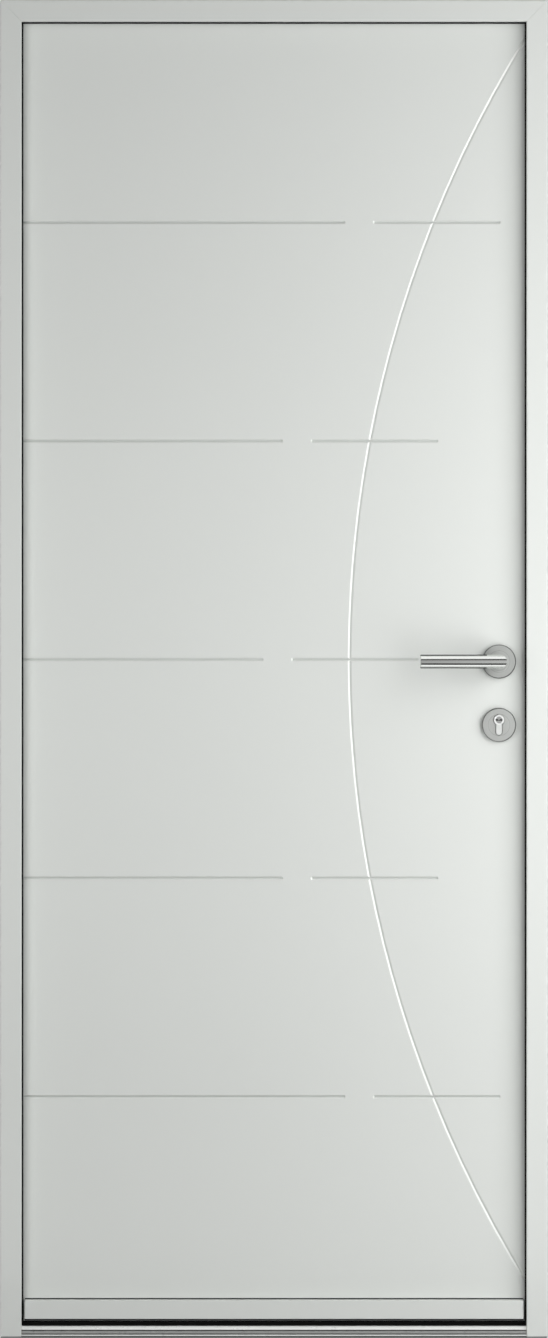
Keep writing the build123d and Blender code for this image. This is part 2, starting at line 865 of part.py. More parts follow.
def leaf_parts():
    parts = {
        "outer_skin": routed_skin(leaf_front, 1),
        "inner_skin": routed_skin(leaf_back, -1),
        "hinge_stile": stile(-1),
        "lock_stile": lock_stile(),
        "top_rail": rail(leaf_top - rail_height, leaf_top),
        "bottom_rail": rail(leaf_bottom, leaf_bottom + rail_height),
        "drip_rail": drip_rail(),
        "drip_rail_caps": Compound([drip_end_cap(-1), drip_end_cap(1)]),
        "drip_rail_bead": drip_rail_bead(),
        "foot_seal": foot_seal(),
        "lock_faceplate": lock_faceplate(),
        "lock_case": lock_case(),
        "latch_bolt": bolt("latch", faceplate_thickness),
        "dead_bolt": bolt("dead", faceplate_thickness),
        "hook_bolts": Compound([bolt(name, hook_bolt_length) for name in ("upper", "lower")]),
        "outside_lever_rose": lever_rose(leaf_front, -1),
        "inside_lever_rose": lever_rose(leaf_back, 1),
        "outside_key_rose": key_rose(leaf_front, -1),
        "inside_key_rose": key_rose(leaf_back, 1),
        "key_cylinder": key_cylinder(),
        "inside_key_plug": key_plug(leaf_back, 1),
    }
    for name, height in hinge_heights.items():
        parts[f"{name}_hinge_leaf_half"] = hinge_leaf_half(height)
    return parts


def moving_furniture():
    return {
        "outside_lever": lever(leaf_front, -1),
        "inside_lever": lever(leaf_back, 1),
        "spindle": spindle(),
        "outside_key_plug": key_plug(leaf_front, -1),
    }


os.makedirs("parts", exist_ok=True)
for name, shape in (frame_parts() | leaf_parts() | moving_furniture()).items():
    export_step(shape, f"parts/{name}.step")
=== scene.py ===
import math

import bmesh
import bpy
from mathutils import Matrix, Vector


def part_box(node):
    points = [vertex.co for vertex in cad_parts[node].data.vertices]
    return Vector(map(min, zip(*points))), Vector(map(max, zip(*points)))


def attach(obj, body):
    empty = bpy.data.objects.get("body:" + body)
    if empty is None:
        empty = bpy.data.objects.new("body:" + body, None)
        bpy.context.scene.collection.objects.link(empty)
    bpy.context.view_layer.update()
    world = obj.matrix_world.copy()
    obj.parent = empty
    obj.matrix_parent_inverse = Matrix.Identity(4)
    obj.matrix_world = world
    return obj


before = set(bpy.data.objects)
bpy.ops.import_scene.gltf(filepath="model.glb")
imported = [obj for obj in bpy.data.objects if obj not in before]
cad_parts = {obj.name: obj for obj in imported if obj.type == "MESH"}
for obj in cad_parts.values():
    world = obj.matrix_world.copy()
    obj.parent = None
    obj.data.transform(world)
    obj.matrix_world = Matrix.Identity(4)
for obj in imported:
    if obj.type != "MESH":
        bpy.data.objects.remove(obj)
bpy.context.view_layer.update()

# Picture and camera. The outer face of the frame fills the picture.
picture_height = 2.150
camera_distance = 12.0
frame_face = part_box("head_outer")[0][1]
eye_height = picture_height / 2

# Levels read off the parts, in metres
leaf_low, leaf_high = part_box("outer_skin")
sheet_edge = leaf_high[0] - 0.001
inner_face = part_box("inner_skin")[1][1]
lever_low, lever_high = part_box("outside_lever")
tube = (lever_high[2] - lever_low[2]) / 2  # radius of the lever's bar
lever_axis = (lever_high[0] - tube, (lever_high[2] + lever_low[2]) / 2)
grip_out = lever_low[1] + tube
grip_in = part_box("inside_lever")[1][1] - tube
plug_low, plug_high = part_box("outside_key_plug")
key_axis = ((plug_low[0] + plug_high[0]) / 2, (plug_low[2] + plug_high[2]) / 2)
plug_faces = (plug_low[1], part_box("inside_key_plug")[1][1])
lobe_radius = 0.005
lobe_drop = key_axis[1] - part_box("key_cylinder")[0][2] - lobe_radius
rose_low, rose_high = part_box("outside_key_rose")
rose_radius = (rose_high[0] - rose_low[0]) / 2

# Fine work on the furniture
rose_line = 0.0175  # radius of the fine turned line in each rose
rose_rim = 0.0017  # width of each rose's ground rim, which is painted dark as shade
plug_highlight_radius = 0.0054  # radius past which a plug's face is painted bright, as a highlight on its rim
lip_radii = (0.00640, 0.00815)  # of the bright lip round each plug
shade_head_radius = 0.0083  # radius past which the cylinder's head is painted with shade
shade_lobe_radius = 0.0044  # and its lobe
lip_rise = 0.0005
# depth from a plug's face past which it is painted dark, as shade in the keyway
shade_from_face = 0.0004


def middle(node):
    low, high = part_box(node)
    return Vector([(a + b) / 2 for a, b in zip(low, high)])


# Finishes

class Reading:
    """A number that varies over a surface. Sums with it turn into nodes of its finish."""

    def __init__(self, finish, socket):
        self.finish = finish
        self.socket = socket

    def worked(self, operation, *numbers):
        return self.finish.add("ShaderNodeMath", {"operation": operation}, dict(enumerate(numbers)))

    def __add__(self, other):
        return self.worked("ADD", self, other)

    def __sub__(self, other):
        return self.worked("SUBTRACT", self, other)

    def __rsub__(self, other):
        return self.worked("SUBTRACT", other, self)

    def __mul__(self, other):
        return self.worked("MULTIPLY", self, other)

    def __pow__(self, other):
        return self.worked("POWER", self, other)

    __radd__ = __add__
    __rmul__ = __mul__

    def size(self):
        return self.worked("ABSOLUTE", self)

    def above(self, level):
        return self.worked("GREATER_THAN", self, level)

    def within(self, low, high):
        return self.worked("MAXIMUM", self.worked("MINIMUM", self, high), low)

    def between(self, low, high):
        return self.above(low) - self.above(high)


class Finish:
    """A surface finish, or the studio's air, built up from nodes."""

    def __init__(self, name, kind=bpy.data.materials):
        self.material = kind.new(name)
        self.material.use_nodes = True
        self.tree = self.material.node_tree
        self.tree.nodes.clear()

    def add(self, kind, settings=None, sockets=None, out=0):
        """Adds a node, with its settings first and then the values or links of its sockets."""
        node = self.tree.nodes.new(kind)
        for name, value in (settings or {}).items():
            setattr(node, name, value)
        for name, value in (sockets or {}).items():
            socket = node.inputs[name]
            if isinstance(value, Reading):
                self.tree.links.new(value.socket, socket)
            elif socket.type == "RGBA" and len(value) == 3:
                socket.default_value = (*value, 1)
            else:
                socket.default_value = value
        return Reading(self, node.outputs[out]) if node.outputs else None

    def place(self):
        """Where a point of the surface is on the door, in metres."""
        return self.add("ShaderNodeTexCoord", out="Object")

    def facing(self):
        """Where a point of the surface looks."""
        return self.add("ShaderNodeTexCoord", out="Normal")

    def apart(self, place):
        split = self.add("ShaderNodeSeparateXYZ", None, {0: place}).socket.node
        return [Reading(self, socket) for socket in split.outputs]

    def together(self, x, y, z):
        return self.add("ShaderNodeCombineXYZ", None, {0: x, 1: y, 2: z})

    def from_axis(self, place, x, z):
        """Radius from an axis along Y, and the depth along it."""
        east, depth, up = self.apart(place)
        return ((east - x) ** 2.0 + (up - z) ** 2.0) ** 0.5, depth

    def stretched(self, place, scale):
        return self.add("ShaderNodeVectorMath", {"operation": "MULTIPLY"}, {0: place, 1: scale})

    def speckle(self, place, per_metre, detail=2.0, roughness=0.5):
        sockets = {"Vector": place, "Scale": per_metre, "Detail": detail, "Roughness": roughness}
        return self.add("ShaderNodeTexNoise", None, sockets)

    def blend(self, amount, first, second):
        """A colour between two others."""
        sockets = {0: amount, 6: first, 7: second}
        return self.add("ShaderNodeMix", {"data_type": "RGBA"}, sockets, out=2)

    def relief(self, height, depth, eased=0.0):
        """Fine relief of the given depth in metres, on edges eased to a small radius."""
        sockets = {"Height": height, "Distance": depth, "Strength": 1.0}
        if eased:
            sockets["Normal"] = self.add("ShaderNodeBevel", {"samples": 4}, {"Radius": eased})
        return self.add("ShaderNodeBump", None, sockets)

    def done(self, **looks):
        """Ends the finish; colour, roughness, normal and the fixed looks of the surface."""
        sockets = {
            name.replace("_", " ").title().replace("Ior", "IOR"): value
            for name, value in looks.items()
        }
        shader = self.add("ShaderNodeBsdfPrincipled", None, sockets)
        self.add("ShaderNodeOutputMaterial", None, {"Surface": shader})
        return self.material


def powder_coat(name, colour, gloss=0.44, peel=0.000008, face=None):
    """Baked paint with a fine orange peel. In the lines cut into a face, which is given as its Y and the
    direction into the sheet, it has painted shade, and a painted highlight on their walls that look to the
    lock."""
    coat = Finish(name)
    place = coat.place()
    skin = coat.speckle(place, 900, 3.0)
    drift = coat.speckle(place, 1.7, 2.0)
    fleck = coat.speckle(place, 4200, 1.0)
    pale = tuple(min(1, c * 1.012) for c in colour)
    deep = tuple(c * 0.985 for c in colour)
    tone = coat.blend(0.6 * drift + 0.4 * fleck, deep, pale)
    if face:
        east, depth, _ = coat.apart(place)
        sunk = (depth - face[0]) * (face[1] / line_depth)
        to_lock = coat.apart(coat.facing())[0].above(0.25) * (1 - east.above(sheet_edge))
        # painted shade in the lines, deeper toward their feet
        cut_shade = sunk.within(0.0, 1.0) * (0.8 + 0.4 * skin) * (1 - to_lock)
        tone = coat.blend(line_shade * cut_shade, tone, tuple(c * 0.25 for c in colour))
        # painted highlight on the walls of the lines that look to the lock
        tone = coat.blend(to_lock * sunk.above(0.02), tone, wall_highlight)
    return coat.done(
        base_color=tone,
        roughness=gloss + 0.08 * (drift - 0.5) + 0.05 * (skin - 0.5),
        normal=coat.relief(skin, peel, eased=0.0005),
        specular_ior_level=0.5,
    )


def drawn_aluminium(name, colour, rough=0.28, shade_bands=()):
    """Satin anodised extrusion with die lines along X. The bands are (low, high, amount) bands of height,
    painted dark as shade.
    """
    metal = Finish(name)
    place = metal.place()
    lines = metal.speckle(metal.stretched(place, (6, 900, 900)), 1.0, 3.0, 0.6)
    cloud = metal.speckle(place, 60, 3.0, 0.6)
    scuff = metal.speckle(metal.stretched(place, (140, 900, 260)), 1.0, 4.0, 0.7).above(0.70)
    tone = metal.blend(0.6 * lines + 0.4 * cloud, tuple(c * 0.97 for c in colour), colour)
    tone = metal.blend(0.05 * scuff, tone, (0.90, 0.90, 0.89))
    # painted shade in bands of height
    if shade_bands:
        up = metal.apart(place)[2]
        band_shade = sum(amount * up.between(low, high) for low, high, amount in shade_bands)
        tone = metal.blend(band_shade * (0.97 + 0.06 * cloud), tone, band_shade_colour)
    return metal.done(
        base_color=tone,
        metallic=0.5,
        roughness=rough + 0.04 * (lines - 0.5) + 0.03 * (cloud - 0.5) + 0.03 * scuff,
        normal=metal.relief(lines, 0.0000003, eased=0.0003),
    )


def brushed_steel(name, colour, rough, along):
    """Stainless steel brushed with a belt; along turns a place into the pattern's own directions."""
    steel = Finish(name)
    place = steel.place()
    strokes = steel.speckle(along(steel, place), 1.0, 3.0, 0.65)
    smudge = steel.speckle(place, 45, 3.0, 0.55)
    tone = steel.blend(strokes, tuple(c * 0.9 for c in colour), colour)
    return steel.done(
        base_color=tone,
        metallic=1.0,
        roughness=rough + 0.10 * (strokes - 0.5) + 0.04 * (smudge - 0.5),
        normal=steel.relief(strokes, 0.0000006, eased=0.00025),
    )


def turned_rose(name, colour, rough, x, z):
    """Stainless steel turned about an axis along Y, with painted shade in the turned line and on the ground
    rim.
    """
    steel = Finish(name)
    place = steel.place()
    radius, depth = steel.from_axis(place, x, z)
    rings = steel.speckle(steel.together(5200 * radius, 900 * depth, 0.0), 1.0, 3.0, 0.65)
    smudge = steel.speckle(place, 45, 3.0, 0.55)
    # painted shade in the turned line and on the rim, which are also made rougher
    cut = 1 - ((radius - rose_line) * 1500).size().within(0.0, 1.0)
    dull = 0.30 * cut + 0.50 * radius.above(rose_radius - rose_rim)
    tone = steel.blend(rings, tuple(c * 0.9 for c in colour), colour)
    return steel.done(
        base_color=steel.blend(dull, tone, tuple(c * 0.1 for c in colour)),
        metallic=1.0,
        roughness=rough + 0.12 * (rings - 0.5) + 0.06 * (smudge - 0.5) + 0.3 * dull,
        normal=steel.relief(rings - 40 * cut, 0.000002, eased=0.00025),
    )


def along_lever(side, seam):
    """Strokes along the grip up to its mitre, and along the neck behind it."""
    def along(steel, place):
        east, depth, up = steel.apart(place)
        neck = (east - side * depth).above(seam)
        grip = 1 - neck
        return steel.together(
            east * (30 * grip + 3000 * neck),
            depth * (3000 * grip + 30 * neck),
            up * 3000,
        )
    return along


def straight_strokes(scale):
    def along(steel, place):
        return steel.stretched(place, scale)
    return along


def zinc_plate(name, colour=(0.60, 0.60, 0.57)):
    """Zinc plated steel: fine crystals and a faint yellow and blue cast."""
    plate = Finish(name)
    place = plate.place()
    crystal = plate.speckle(place, 1500, 3.0, 0.6)
    cast = plate.speckle(place, 26, 2.0)
    tone = plate.blend(cast, tuple(c * k for c, k in zip(colour, (0.96, 0.98, 1.03))), colour)
    return plate.done(
        base_color=plate.blend(0.25 * crystal, tone, (0.78, 0.77, 0.73)),
        metallic=1.0,
        roughness=0.36 + 0.14 * (crystal - 0.5) + 0.08 * (cast - 0.5),
        normal=plate.relief(crystal, 0.00001, eased=0.0003),
    )


def satin_nickel(name, colour, rough=0.32, faces=None, edged=False):
    """Pearl nickel plated brass with faint turning marks. Faces is the Y of the plug's two ends; it has a
    painted highlight on its rim and painted shade in the keyway, deeper than the faces. Edged gives painted
    shade round the cylinder's outline."""
    nickel = Finish(name)
    place = nickel.place()
    radius, depth = nickel.from_axis(place, *key_axis)
    rings = nickel.speckle(nickel.together(7000 * radius, 1200 * depth, 0.0), 1.0, 2.0)
    breath = nickel.speckle(place, 160, 3.0)
    tone = nickel.blend(0.6 * rings + 0.4 * breath, tuple(c * 0.92 for c in colour), colour)
    # painted shade round the cylinder's outline, next to the rose
    if edged:
        east, _, up = nickel.apart(place)
        drop = (key_axis[1] - up).within(0.0, lobe_drop)
        off_lobe = ((east - key_axis[0]) ** 2.0 + (up - key_axis[1] + drop) ** 2.0) ** 0.5
        outline = radius.above(shade_head_radius) * off_lobe.above(shade_lobe_radius)
        tone = nickel.blend(0.6 * outline, tone, outline_shade)
    if faces:
        # painted highlight on the plug's rim
        tone = nickel.blend(radius.above(plug_highlight_radius), tone, bright_nickel)
        # painted shade in the keyway, deeper than the plug's faces
        in_keyway_shade = depth.between(faces[0] + shade_from_face, faces[1] - shade_from_face)
        tone = nickel.blend(0.92 * in_keyway_shade, tone, keyway_shade_colour)
    return nickel.done(
        base_color=tone,
        metallic=0.62,
        roughness=rough + 0.1 * (rings - 0.5) + 0.06 * (breath - 0.5),
        normal=nickel.relief(rings, 0.000005, eased=0.0002),
    )


def moulded_plastic(name, colour, rough, grain_per_metre, depth):
    """Moulded plastic with a spark-eroded grain."""
    plastic = Finish(name)
    place = plastic.place()
    grain = plastic.speckle(place, grain_per_metre, 2.0)
    flow = plastic.speckle(place, 30, 2.0)
    dark = tuple(c * 0.9 for c in colour)
    pale = tuple(c * 1.08 for c in colour)
    tone = plastic.blend(0.5 * grain + 0.5 * flow, dark, pale)
    return plastic.done(
        base_color=tone,
        roughness=rough + 0.1 * (grain - 0.5) + 0.05 * (flow - 0.5),
        normal=plastic.relief(grain, depth, eased=0.0004),
    )


def glass_filled(name, colour, run):
    """Glass filled plastic profile: short pale fibres lying along its run."""
    bar = Finish(name)
    place = bar.place()
    along, across = 70, 2600
    lying = tuple(along if k == run else across for k in range(3))
    fibres = bar.speckle(bar.stretched(place, lying), 1.0, 3.0, 0.7)
    dull = bar.speckle(place, 40, 2.0)
    tone = bar.blend(0.1 * fibres.above(0.6) + 0.1 * dull, colour, (0.20, 0.20, 0.19))
    return bar.done(
        base_color=tone,
        roughness=0.55 + 0.15 * (fibres - 0.5) + 0.08 * (dull - 0.5),
        normal=bar.relief(fibres, 0.00002, eased=0.0003),
    )


def seal_rubber(name):
    """Black rubber with a slight bloom."""
    rubber = Finish(name)
    place = rubber.place()
    pores = rubber.speckle(place, 2400, 2.0)
    bloom = rubber.speckle(place, 18, 3.0, 0.6)
    tone = rubber.blend(bloom, (0.003, 0.003, 0.003), (0.009, 0.009, 0.008))
    return rubber.done(
        base_color=tone,
        roughness=0.70 + 0.14 * (bloom - 0.5) + 0.1 * (pores - 0.5),
        normal=rubber.relief(pores, 0.00002, eased=0.0004),
        specular_ior_level=0.12,
    )


paint_colour = (0.735, 0.758, 0.730)
line_depth = 0.0026
# Depth of the lines, the strength of the painted shade in them, and the colour of the painted highlight on
# their walls that look to the lock
line_shade = 0.26
wall_highlight = (0.92, 0.945, 0.91)
steel_colour = (0.705, 0.721, 0.698)
rose_colour = (0.530, 0.543, 0.525)
# the lever's roses take a darker copy of the rose steel, as painted shade
shaded_lever_rose_colour = (0.472, 0.484, 0.468)
# near-white nickel of the lips, also used for the painted highlight on the plugs' rims
bright_nickel = (0.97, 0.98, 0.965)
insulating_black = (0.012, 0.012, 0.013)
edging_grey = (0.085, 0.086, 0.088)
# colour of the painted shade in the nosing's bands
band_shade_colour = (0.03, 0.03, 0.028)
# colour of the painted shade in the keyways
keyway_shade_colour = (0.02, 0.02, 0.018)
# colour of the painted shade round the cylinder's outline
outline_shade = (0.10, 0.10, 0.095)

paint = powder_coat("light_grey_powder_coat", paint_colour)
outer_paint = powder_coat("light_grey_outer_face", paint_colour, face=(leaf_low[1], 1))
inner_paint = powder_coat("light_grey_inner_face", paint_colour, face=(inner_face, -1))
# Bands of height on the nosing painted dark as shade: (low, high, amount)
nosing_shade_bands = [
    (-0.0001, 0.0033, 0.88), (0.0033, 0.0054, 0.10), (0.0054, 0.0069, 0.98),
    (0.0069, 0.0112, 0.58), (0.0112, 0.0129, 0.99),
]
nosing_metal = drawn_aluminium("natural_anodised_aluminium", (0.735, 0.75, 0.73), shade_bands=nosing_shade_bands)
sill_metal = drawn_aluminium("natural_anodised_sill", (0.74, 0.745, 0.74), 0.34)
bar_x = glass_filled("insulating_bar_across", insulating_black, 0)
bar_z = glass_filled("insulating_bar_upright", insulating_black, 2)
edge_x = glass_filled("composite_edging_across", edging_grey, 0)
edge_z = glass_filled("composite_edging_upright", edging_grey, 2)
rubber = seal_rubber("black_seal_rubber")
zinc = zinc_plate("zinc_plated_steel")
nickel = satin_nickel("satin_nickel_cylinder", (0.82, 0.84, 0.815), edged=True)
lip_nickel = satin_nickel("bright_nickel_lip", bright_nickel)
plug_nickel = satin_nickel("satin_nickel_plug", (0.40, 0.405, 0.395), faces=plug_faces)
cap_plastic = moulded_plastic("light_grey_cap_moulding", (0.66, 0.68, 0.655), 0.5, 1800, 0.00002)
foot_plastic = moulded_plastic("dark_grey_foot_moulding", (0.16, 0.16, 0.16), 0.6, 1400, 0.00003)
screw_steel = zinc_plate("bright_screw_steel", (0.66, 0.66, 0.64))
outside_seam = lever_axis[0] + grip_out
inside_seam = lever_axis[0] - grip_in
bar_rough, rose_rough = 0.11, 0.40
outside_bar = brushed_steel("brushed_outside_lever", steel_colour, bar_rough, along_lever(-1, outside_seam))
inside_bar = brushed_steel("brushed_inside_lever", steel_colour, bar_rough, along_lever(1, inside_seam))
lever_rose_steel = turned_rose("turned_lever_rose", shaded_lever_rose_colour, rose_rough, *lever_axis)
rose_middle = middle("outside_key_rose")
key_rose_steel = turned_rose("turned_key_rose", rose_colour, rose_rough, rose_middle.x, rose_middle.z)
spindle_steel = brushed_steel("drawn_spindle", (0.6, 0.59, 0.57), 0.3, straight_strokes((2500, 40, 2500)))

hinges = ("bottom", "middle", "top")
dressed = {
    paint: [
        "hinge_jamb_outer", "hinge_jamb_inner", "lock_jamb_outer", "lock_jamb_inner",
        "head_outer", "head_inner", "drip_rail", "hinge_pins",
        *(f"{hinge}_hinge_{half}_half" for hinge in hinges for half in ("frame", "leaf")),
    ],
    outer_paint: ["outer_skin"],
    inner_paint: ["inner_skin"],
    nosing_metal: ["threshold_outer"],
    sill_metal: ["threshold_inner"],
    bar_x: ["head_break", "threshold_break"],
    bar_z: ["hinge_jamb_break", "lock_jamb_break"],
    edge_x: ["top_rail", "bottom_rail"],
    edge_z: ["hinge_stile", "lock_stile"],
    rubber: ["frame_seal", "threshold_seal", "drip_rail_bead", "foot_seal"],
    zinc: ["strike_plates", "lock_faceplate", "lock_case", "latch_bolt", "dead_bolt", "hook_bolts"],
    nickel: ["key_cylinder"],
    plug_nickel: ["outside_key_plug", "inside_key_plug"],
    cap_plastic: ["drip_rail_caps"],
    foot_plastic: ["jamb_feet"],
    outside_bar: ["outside_lever"],
    inside_bar: ["inside_lever"],
    lever_rose_steel: ["outside_lever_rose", "inside_lever_rose"],
    key_rose_steel: ["outside_key_rose", "inside_key_rose"],
    spindle_steel: ["spindle"],
}
for finish, names in dressed.items():
    for name in names:
        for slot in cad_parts[name].material_slots:
            slot.material = finish


# Small parts

def placed(name, mesh, finish):
    """Puts a mesh with its finish into the scene."""
    mesh.materials.append(finish)
    piece = bpy.data.objects.new(name, mesh)
    bpy.context.scene.collection.objects.link(piece)
    return piece


def made(name, shape, finish, body, smooth=40):
    """Turns a shape into a piece that rides on a body. Edges up to smooth degrees look soft."""
    bmesh.ops.remove_doubles(shape, verts=shape.verts, dist=1e-7)
    bmesh.ops.recalc_face_normals(shape, faces=shape.faces)
    limit = math.radians(smooth)
    for face in shape.faces:
        face.smooth = True
    for edge in shape.edges:
        edge.smooth = len(edge.link_faces) == 2 and edge.calc_face_angle(0) < limit
    mesh = bpy.data.meshes.new(name)
    shape.to_mesh(mesh)
    shape.free()
    piece = placed(name, mesh, finish)
    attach(piece, body)


def across_and_up(outward):
    """Two directions square to outward."""
    side = Vector((0, 0, 1)) if abs(outward.z) < 0.9 else Vector((0, 1, 0))
    first = side.cross(outward).normalized()
    return first, outward.cross(first)


def ring(shape, centre, outward, radius, height, steps):
    first, second = across_and_up(outward)
    points = []
    for k in range(steps):
        angle = 2 * math.pi * k / steps
        offset = radius * (math.cos(angle) * first + math.sin(angle) * second)
        points.append(shape.verts.new(centre + offset + height * outward))
    return points


def joined(shape, one, two):
    """Faces between two rings of the same number of points."""
    for k in range(len(one)):
        n = (k + 1) % len(one)
        shape.faces.new((one[k], one[n], two[n], two[k]))


def recess_outline(kind, size):
    """(across, up) points round a screw's drive."""
    if kind == "cross":
        arm, half = size, size * 0.22
        quarter = [(arm, -half), (arm, half), (half, half)]
        return [
            (a * c - b * s, a * s + b * c)
            for c, s in ((1, 0), (0, 1), (-1, 0), (0, -1))
            for a, b in quarter
        ]
    radii = [size, size * 0.76] * 6 if kind == "star" else [size] * 6
    step = 2 * math.pi / len(radii)
    return [(r * math.cos(k * step), r * math.sin(k * step)) for k, r in enumerate(radii)]


def screw_head(shape, centre, outward, head, turn):
    """A raised countersunk head with its drive sunk in, turned by an angle."""
    radius, rise, kind, drive = head
    centre, outward = Vector(centre), Vector(outward)
    steps = 24
    dome = ((1.0, 0.0), (0.97, 0.35), (0.84, 0.8), (0.66, 1.0))  # parts of the radius and of the rise
    rings = [ring(shape, centre, outward, radius * r, rise * h, steps) for r, h in dome]
    for low, high in zip(rings, rings[1:]):
        joined(shape, low, high)
    first, second = across_and_up(outward)
    c, s = math.cos(turn), math.sin(turn)
    taper, sunk = 0.7, 0.9 * drive
    mouth, foot = [], []
    for a, b in recess_outline(kind, drive):
        offset = (a * c - b * s) * first + (a * s + b * c) * second
        mouth.append(shape.verts.new(centre + offset + rise * outward))
        foot.append(shape.verts.new(centre + taper * offset + (rise - sunk) * outward))
    joined(shape, mouth, foot)
    shape.faces.new(foot)
    rim = [shape.edges.get((rings[-1][k], rings[-1][(k + 1) % steps])) for k in range(steps)]
    lip = [shape.edges.get((mouth[k], mouth[(k + 1) % len(mouth)])) for k in range(len(mouth))]
    bmesh.ops.triangle_fill(shape, edges=rim + lip, use_beauty=True)


def screws(name, body, places, outward, head):
    """Screws with one kind of head, each left turned further than the last."""
    shape = bmesh.new()
    for k, place in enumerate(places):
        screw_head(shape, place, outward, head, turn=0.9 * k + 0.3)
    made(name, shape, screw_steel, body, smooth=35)


def turned_piece(shape, centre, outward, profile, steps=48):
    """A ring-shaped part turned about outward from a closed (radius, height) profile."""
    centre, outward = Vector(centre), Vector(outward)
    rings = [ring(shape, centre, outward, r, h, steps) for r, h in profile]
    for one, two in zip(rings, rings[1:] + rings[:1]):
        joined(shape, one, two)


def flat_band(inner, outer, rise, eased=0.0002, bedded=0.0004):
    """Profile of a flat band between two radii, with eased edges and its foot bedded in."""
    return [
        (inner, -bedded), (inner, rise - eased), (inner + eased, rise),
        (outer - eased, rise), (outer, rise - eased), (outer, -bedded),
    ]


# Screw heads: radius, rise, kind of drive and the drive's radius
hinge_leaf_head = (0.0048, 0.0006, "star", 0.0019)
hinge_frame_head = (0.0036, 0.0005, "star", 0.0015)
faceplate_head = (0.0038, 0.0004, "cross", 0.0022)
cylinder_head = (0.0044, 0.0004, "cross", 0.0025)
strike_head = (0.0036, 0.0005, "cross", 0.0021)
grub_head = (0.0020, 0.0002, "hex", 0.0011)

# Screws of the hinges
hinge_plate = 0.003
plate_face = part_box("top_hinge_leaf_half")[0][1] + hinge_plate
near_row, far_row, frame_row = 0.010, 0.028, 0.0046  # from the plate's free edge
leaf_pattern = ((near_row, 0.042), (far_row, 0.034), (near_row, 0.0), (far_row, -0.034), (near_row, -0.042))
for hinge in hinges:
    low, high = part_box(f"{hinge}_hinge_leaf_half")
    z = (low[2] + high[2]) / 2
    leaf_places = [(high[0] - dx, plate_face, z + dz) for dx, dz in leaf_pattern]
    screws(f"{hinge}_hinge_leaf_screws", "leaf", leaf_places, (0, 1, 0), hinge_leaf_head)
    low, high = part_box(f"{hinge}_hinge_frame_half")
    frame_places = [(low[0] + frame_row, plate_face, z + dz) for dz in (0.012, -0.012)]
    screws(f"{hinge}_hinge_frame_screws", "frame", frame_places, (0, 1, 0), hinge_frame_head)

# Screws of the faceplate, of the key cylinder and of the strike plates
face_low, face_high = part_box("lock_faceplate")
face_depth = (face_low[1] + face_high[1]) / 2
face_x = face_high[0] - 0.0004  # the heads rise from here to the level of the faceplate
hook_low, hook_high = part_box("hook_bolts")
half_hook = 0.020
latch_height, dead_height = middle("latch_bolt").z, middle("dead_bolt").z
upper_hook, lower_hook = hook_high[2] - half_hook, hook_low[2] + half_hook
from_end, from_hook = 0.022, 0.055
plate_heights = [
    face_low[2] + from_end, lower_hook - from_hook, lower_hook + from_hook, 0.62, 0.87,
    latch_height + 0.060, 1.30, 1.53, upper_hook - from_hook, upper_hook + from_hook,
    face_high[2] - from_end,
]
plate_places = [(face_x, face_depth, z) for z in plate_heights]
screws("faceplate_screws", "leaf", plate_places, (1, 0, 0), faceplate_head)
fixing_place = (face_x, face_depth, key_axis[1])
screws("cylinder_fixing_screw", "leaf", [fixing_place], (1, 0, 0), cylinder_head)
strike_low, strike_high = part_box("strike_plates")
strike_end, past_hook = 0.010, half_hook + 0.012
strike_heights = [
    strike_low[2] + strike_end, lower_hook + past_hook, dead_height - 0.028,
    (dead_height + latch_height) / 2, latch_height + 0.022, upper_hook - past_hook,
    strike_high[2] - strike_end,
]
strike_places = [(strike_low[0], face_depth, z) for z in strike_heights]
screws("strike_plate_screws", "frame", strike_places, (-1, 0, 0), strike_head)

# Grub screw under each lever's neck
grub_height = lever_axis[1] - tube + 0.0001
for name, y in (("outside", (grip_out + leaf_low[1]) / 2), ("inside", (grip_in + leaf_high[1]) / 2)):
    grub_places = [(lever_axis[0], y, grub_height)]
    screws(f"{name}_grub_screw", "levers", grub_places, (0, 0, -1), grub_head)


# Key cylinder: a bright lip round the plug, and the wards in the keyway
def cylinder_lip(name, outward):
    face = plug_faces[0] if outward < 0 else plug_faces[1]
    shape = bmesh.new()
    band = flat_band(*lip_radii, lip_rise)
    turned_piece(shape, (key_axis[0], face, key_axis[1]), (0, outward, 0), band)
    made(name, shape, lip_nickel, "leaf")


def prism(shape, outline, y_from, y_to):
    """A bar along Y over (x, z) points."""
    near = [shape.verts.new((x, y_from, z)) for x, z in outline]
    far = [shape.verts.new((x, y_to, z)) for x, z in outline]
    joined(shape, near, far)
    shape.faces.new(near)
    shape.faces.new(far)


def keyway_wards(name, body, outward):
    """Ribs that narrow the keyway to a key's outline, each sunk a little from the plug's face."""
    face = plug_faces[0] if outward < 0 else plug_faces[1]
    half = 0.0012  # half the keyway's width
    foot = 0.0180  # depth at which the ribs end
    x, z = key_axis
    ribs = [
        (0.0002, [(-0.0015, half), (-0.0010, -0.0006), (0.0008, -0.0006), (0.0012, half)]),
        (0.0012, [(-0.0046, -half), (-0.0042, -0.0001), (-0.0030, 0.0001), (-0.0026, -half)]),
        (0.0012, [(0.0026, -half), (0.0030, 0.0002), (0.0040, 0.0000), (0.0044, -half)]),
    ]
    shape = bmesh.new()
    for sunk, rib in ribs:
        prism(shape, [(x + a, z + b) for a, b in rib], face - outward * sunk, face - outward * foot)
    made(name, shape, plug_nickel, body, smooth=10)


cylinder_lip("outside_cylinder_lip", -1)
cylinder_lip("inside_cylinder_lip", 1)
keyway_wards("outside_keyway_wards", "key", -1)
keyway_wards("inside_keyway_wards", "leaf", 1)


# Studio

